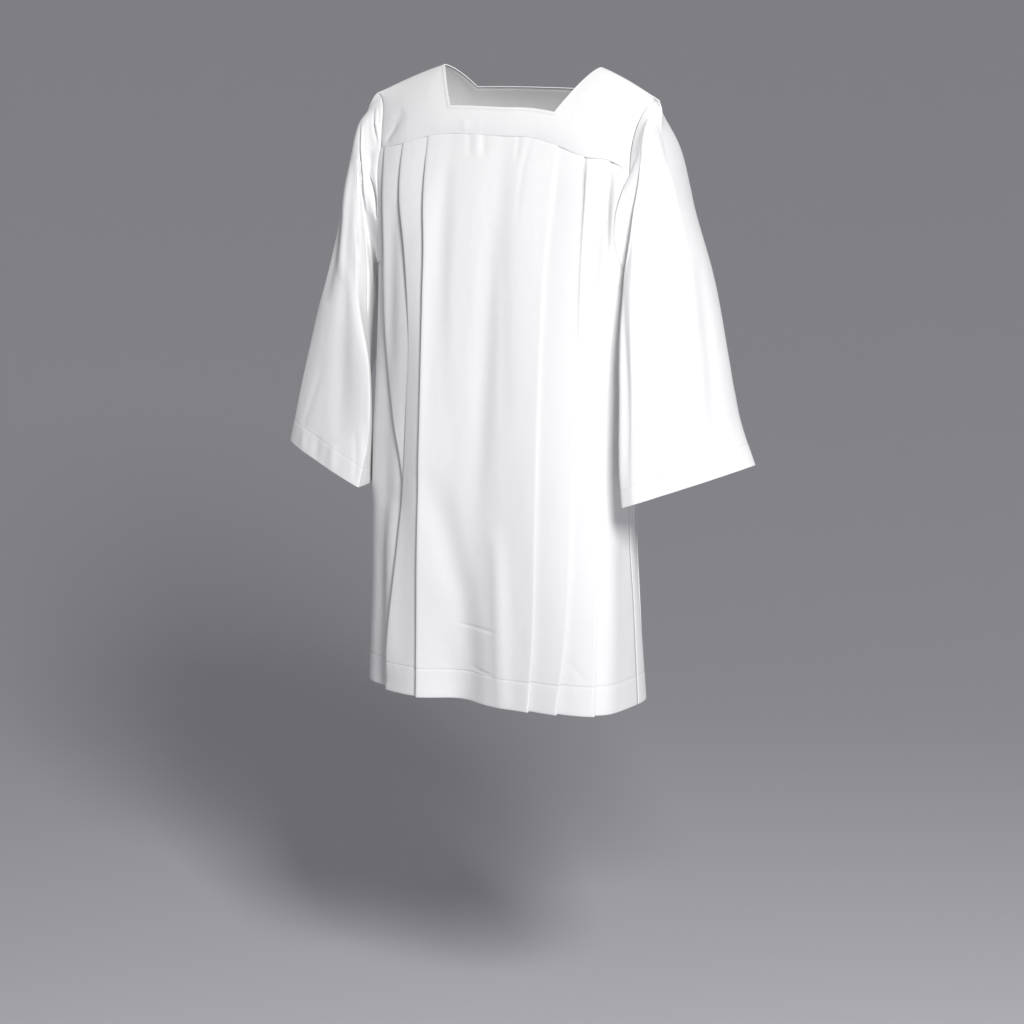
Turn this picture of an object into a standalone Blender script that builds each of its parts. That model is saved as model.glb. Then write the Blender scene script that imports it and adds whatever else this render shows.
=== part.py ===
"""A surplice hanging as it is worn: square yoke, pleated front and back, two bell sleeves.

Metres. The origin is the middle of the shoulder ridge, +Z is up, the front faces -Y and
the wearer's left is +X.
"""
import bmesh
import bpy
import numpy as np

# cloth
WALL = 0.0012          # one layer
YOKE_WALL = 0.0018     # the yoke, its seam allowances turned in
HEM_WALL = 0.0020      # cloth turned up on itself
GAP = 0.0013           # between two pieces at a seam
HEM_Z = -0.957         # level of the body hem
BODY_HEM = 0.045       # depth of the turned-up hem
CUFF_HEM = 0.040

# The body's plan at each level: half width on the wearer's right and left, where the side
# seam, the front and the back stand, and how square the corners are (2 is an ellipse).
BODY = np.array([
    # z      right   left    side    front    back   sq_r  sq_l  sq_b
    [-0.060, 0.256, 0.248, -0.003, -0.066, 0.066, 2.60, 2.60, 2.40],
    [-0.100, 0.254, 0.245, -0.004, -0.077, 0.082, 2.60, 2.60, 2.40],
    [-0.150, 0.250, 0.238, -0.006, -0.093, 0.094, 2.60, 2.60, 2.40],
    [-0.220, 0.243, 0.226, -0.009, -0.110, 0.102, 2.60, 2.60, 2.40],
    [-0.300, 0.237, 0.216, -0.012, -0.122, 0.100, 2.60, 2.60, 2.40],
    [-0.420, 0.235, 0.206, -0.018, -0.133, 0.094, 2.60, 2.70, 2.40],
    [-0.600, 0.238, 0.201, -0.027, -0.145, 0.086, 2.60, 3.00, 2.40],
    [-0.700, 0.238, 0.203, -0.030, -0.149, 0.084, 2.60, 3.30, 2.40],
    [-0.800, 0.237, 0.212, -0.033, -0.153, 0.086, 2.60, 3.60, 2.40],
    [-0.960, 0.241, 0.222, -0.035, -0.160, 0.095, 2.60, 4.20, 2.40],
])

# Height of the yoke seam across the front and across the back.
SEAM = {
    "front": np.array([
        # x      z
        [-0.230, -0.128], [-0.205, -0.124], [-0.170, -0.117], [-0.125, -0.105],
        [-0.085, -0.100], [-0.040, -0.100], [0.000, -0.101], [0.055, -0.102],
        [0.100, -0.112], [0.148, -0.128], [0.190, -0.134], [0.206, -0.142], [0.220, -0.154],
    ]),
    "back": np.array([
        # x      z
        [-0.230, -0.134], [-0.120, -0.118], [0.000, -0.113], [0.120, -0.121], [0.230, -0.148],
    ]),
}

# Knife pleats: how far each folded edge stands from the centre line, by level. All fold
# outward, the first lies on the second and the second on the third.
EDGES = {
    ("front", -1): np.array([
        # z      first   second  third
        [-0.110, 0.124, 0.173, 0.216], [-0.200, 0.115, 0.167, 0.213],
        [-0.260, 0.110, 0.154, 0.209], [-0.340, 0.107, 0.142, 0.207],
        [-0.420, 0.106, 0.133, 0.196], [-0.520, 0.106, 0.130, 0.169],
        [-0.630, 0.105, 0.134, 0.142], [-0.740, 0.104, 0.144, 0.141],
        [-0.850, 0.103, 0.156, 0.151], [-0.960, 0.102, 0.167, 0.160],
    ]),
    ("front", 1): np.array([
        # z      first   second  third
        [-0.110, 0.104, 0.149, 0.186], [-0.190, 0.106, 0.156, 0.191],
        [-0.280, 0.104, 0.159, 0.195], [-0.400, 0.103, 0.158, 0.195],
        [-0.540, 0.104, 0.158, 0.194], [-0.700, 0.106, 0.160, 0.198],
        [-0.840, 0.108, 0.158, 0.202], [-0.960, 0.103, 0.148, 0.204],
    ]),
    ("back", -1): np.array([
        # z      first   second  third
        [-0.110, 0.098, 0.142, 0.184], [-0.400, 0.094, 0.139, 0.180],
        [-0.700, 0.097, 0.140, 0.187], [-0.960, 0.104, 0.151, 0.200],
    ]),
    ("back", 1): np.array([
        # z      first   second  third
        [-0.110, 0.096, 0.140, 0.180], [-0.400, 0.092, 0.136, 0.176],
        [-0.700, 0.094, 0.139, 0.180], [-0.960, 0.100, 0.148, 0.190],
    ]),
}

# How the pleats stand, by level: depth folded under, from layer to layer, and how far
# each folded edge is lifted off the plan.
STAND = {
    "front": np.array([
        # z      under  layers  lift_1  lift_2  lift_3
        [-0.100, 0.024, 0.0020, 0.0006, 0.0006, 0.0006],
        [-0.180, 0.025, 0.0024, 0.0025, 0.0025, 0.0020],
        [-0.300, 0.026, 0.0028, 0.0050, 0.0035, 0.0025],
        [-0.450, 0.024, 0.0030, 0.0060, 0.0020, 0.0035],
        [-0.650, 0.024, 0.0034, 0.0065, 0.0040, 0.0040],
        [-0.960, 0.030, 0.0046, 0.0080, 0.0070, 0.0080],
    ]),
    "back": np.array([
        # z      under  layers  lift_1  lift_2  lift_3
        [-0.100, 0.026, 0.0020, 0.0006, 0.0006, 0.0006],
        [-0.300, 0.027, 0.0028, 0.0030, 0.0030, 0.0030],
        [-0.960, 0.032, 0.0046, 0.0060, 0.0060, 0.0060],
    ]),
}

# The armhole: how far the panels reach from the centre line down to the underarm, as a
# share of the length below the yoke seam (0 is the seam, UNDERARM the side seam's top).
UNDERARM = 0.210
ARMHOLE = {
    ("front", -1): np.array([
        # share  reach
        [0.00, 0.227], [0.04, 0.235], [0.10, 0.230], [0.15, 0.228], [0.19, 0.243],
    ]),
    ("front", 1): np.array([
        # share  reach
        [0.00, 0.219], [0.04, 0.210], [0.10, 0.203], [0.15, 0.209], [0.19, 0.232],
    ]),
    ("back", -1): np.array([
        # share  reach
        [0.00, 0.226], [0.04, 0.220], [0.10, 0.214], [0.15, 0.220], [0.19, 0.244],
    ]),
    ("back", 1): np.array([
        # share  reach
        [0.00, 0.218], [0.04, 0.211], [0.10, 0.205], [0.15, 0.209], [0.19, 0.232],
    ]),
}

# Levels of a panel's sections, as shares of the length below the yoke seam.
LEVELS = [0, 0.04, 0.09, 0.15, UNDERARM, 0.28, 0.36, 0.45, 0.54, 0.63, 0.73, 0.84]

# The largest soft folds of the panels: where they are deepest, how they lean, their
# length and width, and their depth (less than nothing is a trough).
SOFT = {
    "front": np.array([
        # s      z      lean  length width  depth
        [-0.035, -0.960, 0.00, 0.200, 0.042, -0.026],
        [0.178, -0.275, 0.06, 0.090, 0.011, -0.006],
        [0.010, -0.420, 0.02, 0.260, 0.020, -0.005],
        [-0.080, -0.330, 0.00, 0.190, 0.018, -0.004],
        [-0.190, -0.780, 0.02, 0.260, 0.018, -0.006],
        [0.225, -0.800, 0.00, 0.200, 0.022, 0.006],
    ]),
    "back": np.array([
        # s      z      lean  length width  depth
        [0.030, -0.960, 0.03, 0.260, 0.040, -0.018],
        [-0.050, -0.500, 0.02, 0.260, 0.024, -0.006],
        [0.225, -0.700, 0.00, 0.280, 0.020, -0.006],
        [-0.235, -0.760, 0.00, 0.260, 0.022, -0.007],
    ]),
}

# The shoulders: how far the ridge falls away from the neck, and the neck's corners.
RIDGE = np.array([
    # |x|    z       y
    [0.100, 0.001, -0.002], [0.137, 0.000, -0.005], [0.170, -0.011, -0.011],
    [0.210, -0.028, -0.020], [0.250, -0.047, -0.030],
])
TIP = 0.247
NECK_TOP = 0.137
NECK = {"front": (0.091, 0.64), "back": (0.108, 0.38)}   # corner's x, share of the way down
YOKE_FALL = 0.68

# The sleeves' sections below the armhole: the over-arm, the front fold, the underarm and
# the back fold, and how pinched the folds are (1 is an ellipse), with the upper front apart.
SLEEVE = {
    -1: np.array([
        # t    over_x  over_y  over_z  fore_x  fore_y  fore_z  under_x under_y under_z back_x  back_y back_z pinch front
        [0.10, -0.266, -0.034, -0.090, -0.253, -0.066, -0.165, -0.250, -0.010, -0.335, -0.252, 0.080, -0.195, 0.90, 1.60],
        [0.22, -0.287, -0.052, -0.176, -0.250, -0.075, -0.243, -0.260, -0.012, -0.380, -0.275, 0.078, -0.275, 0.95, 1.45],
        [0.38, -0.304, -0.062, -0.270, -0.249, -0.082, -0.341, -0.268, -0.016, -0.440, -0.300, 0.068, -0.360, 1.20, 1.45],
        [0.62, -0.330, -0.080, -0.399, -0.213, -0.108, -0.463, -0.276, -0.022, -0.530, -0.335, 0.052, -0.465, 1.80, 1.50],
        [0.86, -0.353, -0.096, -0.523, -0.212, -0.118, -0.588, -0.271, -0.026, -0.607, -0.365, 0.042, -0.565, 1.90, 1.50],
        [1.00, -0.366, -0.100, -0.588, -0.221, -0.130, -0.646, -0.263, -0.030, -0.642, -0.378, 0.038, -0.618, 1.90, 1.50],
    ]),
    1: np.array([
        # t    over_x  over_y  over_z  fore_x  fore_y  fore_z  under_x under_y under_z back_x  back_y back_z pinch front
        [0.10, 0.248, -0.024, -0.091, 0.231, -0.062, -0.162, 0.231, -0.010, -0.342, 0.232, 0.080, -0.195, 1.0, 0.85],
        [0.22, 0.267, -0.014, -0.182, 0.223, -0.074, -0.238, 0.240, -0.012, -0.385, 0.256, 0.080, -0.272, 1.05, 0.80],
        [0.38, 0.293, -0.014, -0.285, 0.224, -0.098, -0.343, 0.247, -0.016, -0.445, 0.284, 0.076, -0.345, 1.1, 0.72],
        [0.62, 0.312, -0.032, -0.420, 0.234, -0.120, -0.480, 0.252, -0.024, -0.535, 0.318, 0.066, -0.452, 1.15, 0.70],
        [0.86, 0.322, -0.046, -0.545, 0.240, -0.130, -0.588, 0.255, -0.028, -0.600, 0.344, 0.056, -0.532, 1.2, 0.70],
        [1.00, 0.326, -0.050, -0.607, 0.244, -0.129, -0.637, 0.260, -0.030, -0.630, 0.372, 0.048, -0.588, 1.2, 0.70],
    ]),
}
SLEEVE_RINGS = [0, 0.02, 0.05, 0.09, 0.15, 0.22, 0.31, 0.42, 0.55, 0.69, 0.84]
AROUND = 24


def along(table, at):
    """The table's other columns where its first column is 'at', eased through the rows."""
    rows = table if table[0, 0] < table[-1, 0] else table[::-1]
    key = rows[:, 0]
    slope = np.gradient(rows[:, 1:], key, axis=0)
    at = np.clip(np.asarray(at, float), key[0], key[-1])
    i = np.clip(np.searchsorted(key, at, side="right") - 1, 0, len(key) - 2)
    h = (key[i + 1] - key[i])[..., None]
    t = ((at - key[i])[..., None]) / h
    a, b = rows[i, 1:], rows[i + 1, 1:]
    ease = t * t * (3 - 2 * t)
    return a + (b - a) * ease + h * t * (1 - t) * ((1 - t) * slope[i] - t * slope[i + 1])


def quarter(z, left, face):
    """The plan's outline from the centre line to the side seam, and the run along it."""
    row = along(BODY, z)
    wide = np.where(left, row[..., 1], row[..., 0])[..., None]
    side = row[..., 2][..., None]
    deep = row[..., 3 if face == "front" else 4][..., None] - side
    sq = np.where(left, row[..., 6], row[..., 5]) if face == "front" else row[..., 7]
    t = np.linspace(0, 1, 161)
    turn = np.pi / 2 * t * t * (3 - 2 * t)
    x = wide * np.sin(turn) ** (2 / sq[..., None])
    y = side + deep * np.abs(np.cos(turn)) ** (2 / sq[..., None])
    step = np.hypot(np.diff(x), np.diff(y))
    return x, y, np.concatenate([np.zeros(x.shape[:-1] + (1,)), np.cumsum(step, axis=-1)], -1)


def plan(s, z, face):
    """Point and outward normal at s metres from the centre line (+ to the wearer's left)."""
    s, z = np.broadcast_arrays(np.asarray(s, float), np.asarray(z, float))
    left = s > 0
    x, y, run = quarter(z, left, face)
    want = np.clip(np.abs(s)[..., None], 0, run[..., -1:])
    i = np.clip((run < want).sum(-1) - 1, 0, x.shape[-1] - 2)[..., None]

    def pick(a, k):
        return np.take_along_axis(a, k, -1)

    f = (want - pick(run, i)) / np.maximum(pick(run, i + 1) - pick(run, i), 1e-9)
    px = (pick(x, i) + f * (pick(x, i + 1) - pick(x, i)))[..., 0]
    py = (pick(y, i) + f * (pick(y, i + 1) - pick(y, i)))[..., 0]
    lo, hi = np.maximum(i - 2, 0), np.minimum(i + 3, x.shape[-1] - 1)
    tx = (pick(x, hi) - pick(x, lo))[..., 0]
    ty = (pick(y, hi) - pick(y, lo))[..., 0]
    size = np.hypot(tx, ty)
    hand = np.where(left, 1.0, -1.0)
    out = 1.0 if face == "front" else -1.0
    return np.stack([px * hand, py], -1), np.stack([ty / size * hand * out, -tx / size * out], -1)


def fall(face, share, x):
    """Level of a share of a panel's length, under the point x of the yoke seam."""
    top = along(SEAM[face], x)[..., 0] - GAP / 2
    return top + (HEM_Z - top) * share


def soft(face, s, z):
    """How far the soft folds stand off the plan."""
    total = np.zeros(np.broadcast(s, z).shape)
    for s0, z0, lean, length, width, depth in SOFT[face]:
        across = (s - s0 - lean * (z - z0)) / width
        total += depth * np.exp(-across ** 2 - ((z - z0) / length) ** 2)
    return total


def section(face, share):
    """One section of a pleated panel: run from the centre line, level and lift of each point."""
    half = {}
    for hand in (-1, 1):
        at = np.array([fall(face, share, hand * x) for x in (0.11, 0.16, 0.20)])
        edge = along(EDGES[face, hand], at)[[0, 1, 2], [0, 1, 2]]
        stand = along(STAND[face], at)
        under, gap = stand[:, 0], stand[:, 1]
        lift = stand[[0, 1, 2], [2, 3, 4]]
        reach = along(ARMHOLE[face, hand], share)[0]
        if share >= UNDERARM:
            reach = quarter(fall(face, share, hand * 0.23), hand > 0, face)[2][-1]
        path = []
        start = (0.0, 0.0)
        for k in range(3):
            over = edge[k - 1] if k else 0.0
            clear = np.clip((edge[k] - over) / 0.022, 0, 1) ** 2
            if k == 2:
                lift[2] = start[1] + (lift[2] - start[1]) * clear
            tuck = edge[k] - min(under[k], 0.8 * (edge[k] - start[0]))
            way = (tuck - start[0]) / (edge[k] - start[0])
            high = start[1] + (lift[k] - start[1]) * (way if k else way ** 2)
            path += [(tuck, high), (edge[k], lift[k]), (edge[k], lift[k] - gap[k]),
                     (tuck, high - gap[k]), (tuck, high - 2 * gap[k])]
            if k < 2:
                out = min(edge[k] + 0.003, (tuck + edge[k + 1]) / 2)
                way = min((out - tuck) / (edge[k] - tuck), 1)
                start = (out, high + (lift[k] - high) * way - 2 * gap[k])
                path.append(start)
            else:
                path.append((max(edge[1], edge[2]) + 0.003, lift[2] - 2 * gap[2]))
        last = path[-1]
        end = reach - GAP / 2
        path += [(last[0] + (end - last[0]) * f, last[1] * (1 - f) ** 2) for f in (0.34, 0.67, 1)]
        half[hand] = path
    flat = [(x, along(STAND[face], fall(face, share, x))[2] * (abs(x) / 0.1) ** 2)
            for x in (-0.052, -0.035, -0.0175, 0.0, 0.0175, 0.035, 0.052)]
    whole = [(-s, o) for s, o in reversed(half[-1])] + flat + half[1]
    run, off = np.array(whole).T
    level = fall(face, share, run)
    return run, level, off + soft(face, run, level)


def sides(mid, right, wrong):
    """The two faces of a folded strip seen from above, its right side to the left of its run."""
    step = np.diff(mid, axis=0)
    step /= np.maximum(np.hypot(*step.T), 1e-9)[:, None]
    turn = np.stack([-step[:, 1], step[:, 0]], -1)
    before = np.vstack([turn[:1], turn])
    after = np.vstack([turn, turn[-1:]])
    corner = before + after
    corner /= np.maximum(1 + (before * after).sum(1), 0.35)[:, None]
    return mid + corner * right, mid - corner * wrong


def panel(face):
    """Rows of the two faces of a pleated panel, seam to hem."""
    outer, inner = [], []
    hem = 1 - BODY_HEM / 0.85
    for share, thick in [(v, WALL) for v in LEVELS] + [(hem, WALL), (hem + 0.003, HEM_WALL),
                                                       (1, HEM_WALL)]:
        run, level, off = section(face, share)
        at, out = plan(run, level, face)
        mid = at + out * off[:, None]
        hand = -1 if face == "front" else 1
        a, b = sides(mid, hand * WALL / 2, hand * (thick - WALL / 2))
        outer.append(np.column_stack([a, level]))
        inner.append(np.column_stack([b, level]))
    return np.array(outer), np.array(inner)


def top_edge(face):
    """The x, y and z of points along a panel's top edge, which the yoke's lower edge follows."""
    run = np.linspace(-0.262, 0.262, 263)
    level = along(SEAM[face], run)[:, 0]
    at, _ = plan(run, level, face)
    return at[:, 0], at[:, 1], level


TOP_EDGES = {face: top_edge(face) for face in ("front", "back")}


def shoulder(face, x, way):
    """A point of the shoulder surface, from the ridge (0) down to the yoke seam (1)."""
    ridge, crest = np.moveaxis(along(RIDGE, np.abs(x)), -1, 0)
    edge_x, edge_y, edge_z = TOP_EDGES[face]
    seam, depth = np.interp(x, edge_x, edge_z) + GAP / 2, np.interp(x, edge_x, edge_y)
    turn = np.asarray(way, float) * np.pi / 2
    y = crest + (depth - crest) * np.sin(turn)
    z = ridge + (seam - ridge) * (1 - np.cos(turn)) ** YOKE_FALL
    return np.stack([np.broadcast_to(x, z.shape), y, z], -1)


def yoke(face):
    """Rows of a yoke's middle surface, from the ridge and the neck down to the seam."""
    corner, low = NECK[face]
    columns = []
    for hand in (-1, 1):
        seam_end = abs(plan(hand * ARMHOLE[face, hand][0, 1], SEAM[face][0 if hand < 0 else -1, 1],
                            face)[0][0])
        side = []
        for k in range(5):
            f = k / 5
            side.append((TIP + (NECK_TOP - TIP) * f, 0.0,
                         seam_end + (0.152 - seam_end) * f, 2 * (1 - f)))
        for k in range(4):
            f = k / 3
            side.append((NECK_TOP + (corner - NECK_TOP) * f, low * f,
                         0.152 + (corner + 0.008 - 0.152) * f, 0.0))
        columns.append([(hand * a, b, hand * c, d) for a, b, c, d in side])
    band = [(corner * f, low, (corner + 0.008) * f, 0.0) for f in (-0.7, -0.35, 0, 0.35, 0.7)]
    columns = columns[0] + band + columns[1][::-1]
    rows = []
    for down in (0, 0.12, 0.26, 0.42, 0.60, 0.80, 1):
        top, start, foot, drawn = np.array(columns).T
        way = start + (1 - start) * down
        x = foot + (top - foot) * (1 - way) ** (1 + drawn) / np.maximum(1 - start, 1e-6) ** (1 + drawn)
        rows.append(shoulder(face, x, way))
    rows = np.array(rows)
    rows[..., 1] += (-GAP if face == "front" else GAP) / 2
    return rows


def resample(points, count):
    """A run of points respaced evenly along its length."""
    points = np.asarray(points)
    run = np.concatenate([[0], np.cumsum(np.linalg.norm(np.diff(points, axis=0), axis=1))])
    want = np.linspace(0, run[-1], count)
    return np.stack([np.interp(want, run, points[:, k]) for k in range(3)], -1)


def armhole(hand):
    """The armhole's loop: over the shoulder tip, down the front, up the back."""
    run = {}
    for face in ("front", "back"):
        edge = list(yoke(face)[:, 0 if hand < 0 else -1])
        for share in LEVELS:
            if share <= UNDERARM:
                s, level, off = section(face, share)
                k = 0 if hand < 0 else -1
                at, out = plan(s[k], level[k], face)
                edge.append(np.append(at + out * off[k], level[k]))
        run[face] = resample(edge, AROUND // 2 + 1)
    return np.vstack([run["front"], run["back"][-2:0:-1]])


def sleeve(hand):
    """Rings of a sleeve's middle surface, armhole to cuff."""
    start = armhole(hand)
    angle = np.linspace(0, 2 * np.pi, AROUND, endpoint=False)
    table = SLEEVE[hand]
    first = table[0, 0]
    rings = []
    last = 1 - CUFF_HEM / 0.56
    for t in SLEEVE_RINGS + [last, last + 0.004, 1]:
        row = along(table, max(t, first))
        over, fore, under, back, (pinch, front) = row[0:3], row[3:6], row[6:9], row[9:12], row[12:]
        mid = (over + under) / 2
        c, s = np.cos(angle)[:, None], np.sin(angle)[:, None]
        full = np.clip(s, 0, 1) * np.clip(c * 3, 0, 1)
        tuck = np.clip(s, 0, 1) * np.clip(c * -3, 0, 1)
        up = np.where(c > 0, over - mid, mid - under) * np.sign(c) * np.abs(c) ** (
            pinch + (front - pinch) * full)
        out = np.where(s > 0, fore - mid, mid - back) * np.sign(s) * np.abs(s) ** (
            1 + (front - 1) * full + (pinch - 1) * 0.7 * tuck)
        ring = mid + up + out
        if t < first:
            f = t / first
            ring = start + (ring - start) * (f + np.sin(f * np.pi / 2)) / 2
            ahead = np.clip(s, 0, 1) ** 2
            dip = 0.012 * np.exp(-((t - 0.03) / 0.022) ** 2) * ahead
            ring = ring + dip * np.array([0.35 * hand, 1.0, 0.0])
            clear = (0.0022 + 0.0014 * np.clip(-c, 0, 1)) * (1 - f)
            ring = ring + clear * np.array([hand, 0, 0])
        rings.append(ring)
    return np.array(rings)


# ---- solids

def clear_scene():
    for old in list(bpy.data.objects):
        bpy.data.objects.remove(old, do_unlink=True)


def facing(rows, closed):
    """Normals of a grid of points."""
    if closed:
        across = np.roll(rows, -1, axis=1) - np.roll(rows, 1, axis=1)
    else:
        across = np.gradient(rows, axis=1)
    down = np.gradient(rows, axis=0)
    n = np.cross(across, down)
    return n / np.maximum(np.linalg.norm(n, axis=-1, keepdims=True), 1e-12)


def shell(name, outer, inner, closed, material):
    """A closed body between two grids of points."""
    count, width = outer.shape[:2]
    points = np.vstack([outer.reshape(-1, 3), inner.reshape(-1, 3)])
    back = count * width
    faces = []
    for i in range(count - 1):
        for j in range(width if closed else width - 1):
            a, b = i * width + j, i * width + (j + 1) % width
            c, d = b + width, a + width
            if np.linalg.norm(points[a] - points[c]) > np.linalg.norm(points[b] - points[d]):
                a, b, c, d = b, c, d, a
            for p, q, r in ((a, b, c), (a, c, d)):
                faces.append((p, q, r))
                faces.append((back + r, back + q, back + p))
    for i, turn in ((0, 1), (count - 1, -1)):
        for j in range(width if closed else width - 1):
            a, b = i * width + j, i * width + (j + 1) % width
            faces.append((a, back + a, back + b, b)[::turn])
    if not closed:
        for j, turn in ((0, -1), (width - 1, 1)):
            for i in range(count - 1):
                a, b = i * width + j, (i + 1) * width + j
                faces.append((a, back + a, back + b, b)[::turn])
    mesh = bpy.data.meshes.new(name)
    mesh.from_pydata(points.tolist(), [], faces)
    mesh.validate()
    work = bmesh.new()
    work.from_mesh(mesh)
    bmesh.ops.recalc_face_normals(work, faces=work.faces)
    if work.calc_volume(signed=True) < 0:
        bmesh.ops.reverse_faces(work, faces=work.faces)
    work.to_mesh(mesh)
    work.free()
    item = bpy.data.objects.new(name, mesh)
    bpy.context.scene.collection.objects.link(item)
    mesh.materials.append(material)
    return item


def cloth(name, colour):
    material = bpy.data.materials.new(name)
    material.use_nodes = True
    base = material.node_tree.nodes["Principled BSDF"]
    base.inputs["Base Color"].default_value = (*colour, 1)
    base.inputs["Roughness"].default_value = 0.85
    return material


clear_scene()

for face in ("front", "back"):
    outer, inner = panel(face)
    shell("panel_" + face, outer, inner, False, cloth("panel_" + face, (0.86, 0.86, 0.87)))

    rows = yoke(face)
    out = facing(rows, False)
    if out[..., 2].mean() < 0:
        out = -out
    ridge = np.abs(rows[0, :, 0]) > NECK_TOP - 0.001
    out[0, ridge, 1] = 0
    out[0, ridge] /= np.linalg.norm(out[0, ridge], axis=-1, keepdims=True)
    shell("yoke_" + face, rows + out * YOKE_WALL / 2, rows - out * YOKE_WALL / 2, False,
          cloth("yoke_" + face, (0.88, 0.88, 0.89)))

for hand, name in ((-1, "sleeve_right"), (1, "sleeve_left")):
    rows = sleeve(hand)
    out = facing(rows, True)
    middle = rows.mean(axis=1, keepdims=True)
    if ((rows - middle) * out).sum(-1).mean() < 0:
        out = -out
    thick = np.full(len(rows), WALL)
    thick[-2:] = HEM_WALL
    shell(name, rows + out * WALL / 2, rows - out * (thick - WALL / 2)[:, None, None], True,
          cloth(name, (0.86, 0.86, 0.87)))
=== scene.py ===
"""A white surplice hanging as it is worn, dressed over its fixed solids.

Metres. The origin is the middle of the shoulder ridge, +Z is up, the front faces -Y and
the wearer's left is +X.
"""
import math

import bmesh
import bpy
import numpy as np
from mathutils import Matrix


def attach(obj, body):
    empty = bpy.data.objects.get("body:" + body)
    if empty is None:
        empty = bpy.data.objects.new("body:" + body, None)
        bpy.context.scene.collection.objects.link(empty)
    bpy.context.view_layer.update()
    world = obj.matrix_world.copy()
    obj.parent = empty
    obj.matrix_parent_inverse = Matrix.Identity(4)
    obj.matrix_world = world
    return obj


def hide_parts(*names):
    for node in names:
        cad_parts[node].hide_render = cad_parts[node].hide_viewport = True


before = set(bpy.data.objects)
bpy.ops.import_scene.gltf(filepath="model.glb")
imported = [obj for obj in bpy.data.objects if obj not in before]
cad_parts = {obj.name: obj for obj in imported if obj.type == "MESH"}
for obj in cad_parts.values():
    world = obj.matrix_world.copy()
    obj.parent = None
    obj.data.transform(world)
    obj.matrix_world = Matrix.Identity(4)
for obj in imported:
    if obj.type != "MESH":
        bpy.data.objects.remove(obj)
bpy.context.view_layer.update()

# ---- Studio ---------------------------------------------------------------------------
# A round sweep of plain pale grey: floor and wall in one, far enough out to stand behind
# the garment from every side. One soft key from the wearer's left and an even grey sky.

FLOOR_Z = -1.56
SWEEP_R = 2.3          # where the floor starts to rise
SWEEP_BEND = 5.5
SWEEP_TOP = 6.0
MIDDLE_Z = -0.45       # the middle of the garment, which the lamps face

profile = [(0.001, FLOOR_Z), (1.6, FLOOR_Z), (SWEEP_R, FLOOR_Z)]
profile += [(SWEEP_R + SWEEP_BEND * math.sin(a), FLOOR_Z + SWEEP_BEND * (1 - math.cos(a)))
            for a in np.linspace(0, math.pi / 2, 25)[1:]]
profile.append((SWEEP_R + SWEEP_BEND, SWEEP_TOP))
work = bmesh.new()
ring = [work.verts.new((r, 0, z)) for r, z in profile]
edges = [work.edges.new(pair) for pair in zip(ring, ring[1:])]
bmesh.ops.spin(work, geom=ring + edges, cent=(0, 0, 0), axis=(0, 0, 1), angle=2 * math.pi,
               steps=96, use_merge=True)
bmesh.ops.remove_doubles(work, verts=work.verts, dist=0.0015)
bmesh.ops.recalc_face_normals(work, faces=work.faces)
for face in work.faces:
    face.smooth = True
sweep_mesh = bpy.data.meshes.new("studio_sweep")
work.to_mesh(sweep_mesh)
work.free()
sweep = bpy.data.objects.new("studio_sweep", sweep_mesh)
bpy.context.scene.collection.objects.link(sweep)
paper = bpy.data.materials.new("studio_paper")
paper.use_nodes = True
paper_base = paper.node_tree.nodes["Principled BSDF"]
paper_base.inputs["Base Color"].default_value = (0.64, 0.633, 0.674, 1)
paper_base.inputs["Roughness"].default_value = 1.0
paper_base.inputs["Specular IOR Level"].default_value = 0.1
sweep_mesh.materials.append(paper)

sky = bpy.data.worlds.new("studio_sky")
sky.use_nodes = True
sky.node_tree.nodes["Background"].inputs["Color"].default_value = (1.0, 1.0, 1.0, 1)
sky.node_tree.nodes["Background"].inputs["Strength"].default_value = 0.27
bpy.context.scene.world = sky


def softbox(name, azimuth, elevation, distance, size, power):
    """A white rectangular lamp that faces the middle of the garment."""
    a, e = math.radians(azimuth), math.radians(elevation)
    lamp = bpy.data.lights.new(name, "AREA")
    lamp.shape = "RECTANGLE"
    lamp.size, lamp.size_y = size
    lamp.energy = power
    holder = bpy.data.objects.new(name, lamp)
    bpy.context.scene.collection.objects.link(holder)
    holder.location = (distance * math.sin(a) * math.cos(e), -distance * math.cos(a) * math.cos(e),
                       distance * math.sin(e) + MIDDLE_Z)
    holder.rotation_euler = (math.pi / 2 - e, 0, a)


softbox("key", azimuth=43, elevation=29, distance=3.6, size=(0.7, 1.0), power=116)
softbox("side_fill", azimuth=92, elevation=15, distance=3.4, size=(1.2, 1.4), power=6)

lens = bpy.data.cameras.new("camera")
camera = bpy.data.objects.new("camera", lens)
bpy.context.scene.collection.objects.link(camera)
camera.location = (2.3150, -4.0097, 0.1470)
camera.rotation_euler = (math.radians(90 - 10.1893), 0, math.radians(30.2152))
lens.sensor_width = 36
lens.lens = 106.5586
lens.clip_end = 60
bpy.context.scene.camera = camera
bpy.context.scene.view_settings.view_transform = "Standard"

# ---- Front and back panels ------------------------------------------------------------
# Two wide lengths of white plain-weave cloth, each folded into three knife pleats a side
# round a plain centre and caught under the yoke. The pleats are pressed down to the hem,
# which is turned up 45 mm inside and stitched.

HEM_Z = -0.957
BODY_HEM = 0.045
PANEL_LENGTH = 0.85    # yoke seam to hem
UNDERARM = 0.210       # share of the length where the armhole ends and the side seam starts
SEAM_GAP = 0.0003
CLOTH = 0.0006         # thickness of one layer
SIDE_X = 0.23          # x of the yoke seam over the side seam
FOLD_X = (0.11, 0.16, 0.20)    # and over each folded edge
PAST_EDGE = 0.003      # a layer runs this far past the edge over it before it turns off
COVER = 0.022          # nearer than this, the third edge sinks under the second

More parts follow.
